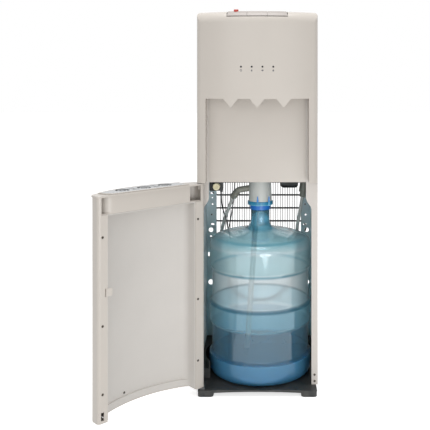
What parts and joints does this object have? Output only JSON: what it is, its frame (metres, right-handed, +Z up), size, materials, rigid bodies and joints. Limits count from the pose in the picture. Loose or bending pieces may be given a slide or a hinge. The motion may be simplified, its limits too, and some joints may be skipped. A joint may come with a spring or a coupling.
{
  "type": "bottom load water cooler",
  "caption": "Slim bowed water cooler with a swinging lower door, the bottle standing inside on a black base, a probe on a slack hose, a dispensing niche and keys on top.",
  "frame": {"origin": "on the floor, under the middle of the whole box that the cooler takes up with its door open", "axes": "+Z up, -Y out of the front with the door and niche, +X to the user's right"},
  "size_m": [0.5334, 0.546, 0.978],
  "materials": {
    "panel_paint": "satin",
    "white_plastic": "gloss",
    "liner_grey": "matte",
    "key_grey": "satin",
    "red_plastic": "gloss",
    "black_plastic": "satin",
    "rubber_black": "matte",
    "bottle_blue": "gloss",
    "cap_blue": "gloss",
    "hood_grey": "satin",
    "galvanised": "satin",
    "bright_steel": "satin",
    "coil_black": "satin",
    "machine_black": "satin",
    "tank_steel": "brushed",
    "copper": "satin",
    "foam": "matte",
    "board_green": "satin",
    "lens_dark": "gloss",
    "silicone": "matte",
    "hose_grey": "satin",
    "cream_plastic": "gloss",
    "tray_silver": "satin",
    "dark_screw": "satin"
  },
  "bodies": {
    "cabinet": {"back_panel": "galvanised", "base_tray": "black_plastic", "bottle": "bottle_blue", "bottle_cap": "cap_blue", "bottle_cradle": "black_plastic", "cap_tabs": "cap_blue", "cold_tank": "tank_steel", "cold_tank_foam": "foam", "compressor": "machine_black", "compressor_grommets": "rubber_black", "condenser_brackets": "bright_steel", "condenser_screws": "bright_steel", "condenser_tube": "coil_black", "condenser_wires": "coil_black", "control_board": "board_green", "door_switch_body": "black_plastic", "drain_spout": "white_plastic", "filter_drier": "copper", "front_fascia": "white_plastic", "hinge_brackets": "bright_steel", "hot_tank": "tank_steel", "indicator_lenses": "lens_dark", "mid_shelf": "galvanised", "niche_back": "white_plastic", "post_screws": "dark_screw", "power_inlet": "black_plastic", "probe_elbow": "hose_grey", "probe_head": "hood_grey", "probe_hose": "hose_grey", "probe_tube": "hood_grey", "pump_inlet_fitting": "hose_grey", "rear_switch_panel": "black_plastic", "rubber_feet": "rubber_black", "shelf_grommet": "rubber_black", "side_panel_left": "panel_paint", "side_panel_right": "panel_paint", "spout_hoses": "silicone", "spouts": "white_plastic", "switch_lead": "rubber_black", "tank_shelf": "galvanised", "top_cover": "white_plastic", "water_header": "silicone", "water_pump": "black_plastic"},
    "door": {"door_skin": "white_plastic", "door_liner": "liner_grey", "door_top_frame": "white_plastic", "door_screws": "dark_screw", "door_catch": "black_plastic", "hinge_bushings": "black_plastic"},
    "tray": {"drip_tray": "white_plastic", "drip_grille": "tray_silver"},
    "hot_key": {"hot_key": "key_grey"},
    "room_key": {"room_key": "key_grey"},
    "cold_key": {"cold_key": "key_grey"},
    "lock_button": {"child_lock": "red_plastic"},
    "switch_plunger": {"door_switch_plunger": "cream_plastic"},
    "heater_rocker": {"heater_rocker": "red_plastic"},
    "cooling_rocker": {"cooling_rocker": "black_plastic"},
    "drain_plug": {"drain_plug": "black_plastic"}
  },
  "joints": [
    {"name": "door_swing", "type": "hinge", "parent": "cabinet", "child": "door", "pos_m": [-0.03529, -0.05974, 0.021], "axis": [0, 0, 1], "range_deg": [0, 137]},
    {"name": "tray_lift", "type": "slide", "parent": "door", "child": "tray", "axis": [0, 0, 1], "range_m": [0, 0.045]},
    {"name": "hot_key_press", "type": "slide", "parent": "cabinet", "child": "hot_key", "axis": [0, 0, -1], "range_m": [0, 0.0018], "stiffness_N_per_m": 500, "springref_m": -0.003},
    {"name": "room_key_press", "type": "slide", "parent": "cabinet", "child": "room_key", "axis": [0, 0, -1], "range_m": [0, 0.0018], "stiffness_N_per_m": 500, "springref_m": -0.003},
    {"name": "cold_key_press", "type": "slide", "parent": "cabinet", "child": "cold_key", "axis": [0, 0, -1], "range_m": [0, 0.0018], "stiffness_N_per_m": 500, "springref_m": -0.003},
    {"name": "lock_press", "type": "slide", "parent": "hot_key", "child": "lock_button", "axis": [0, 0, -1], "range_m": [0, 0.0015], "stiffness_N_per_m": 300, "springref_m": -0.002},
    {"name": "switch_press", "type": "slide", "parent": "cabinet", "child": "switch_plunger", "axis": [0, 1, 0], "range_m": [0, 0.004], "stiffness_N_per_m": 300, "springref_m": -0.002},
    {"name": "drain_plug_pull", "type": "slide", "parent": "cabinet", "child": "drain_plug", "axis": [0, 1, 0], "range_m": [0, 0.02]},
    {"name": "heater_rocker_tilt", "type": "hinge", "parent": "cabinet", "child": "heater_rocker", "pos_m": [0.15471, 0.24996, 0.883], "axis": [1, 0, 0], "range_deg": [-8, 8]},
    {"name": "cooling_rocker_tilt", "type": "hinge", "parent": "cabinet", "child": "cooling_rocker", "pos_m": [0.18871, 0.24996, 0.883], "axis": [1, 0, 0], "range_deg": [-8, 8]}
  ]
}
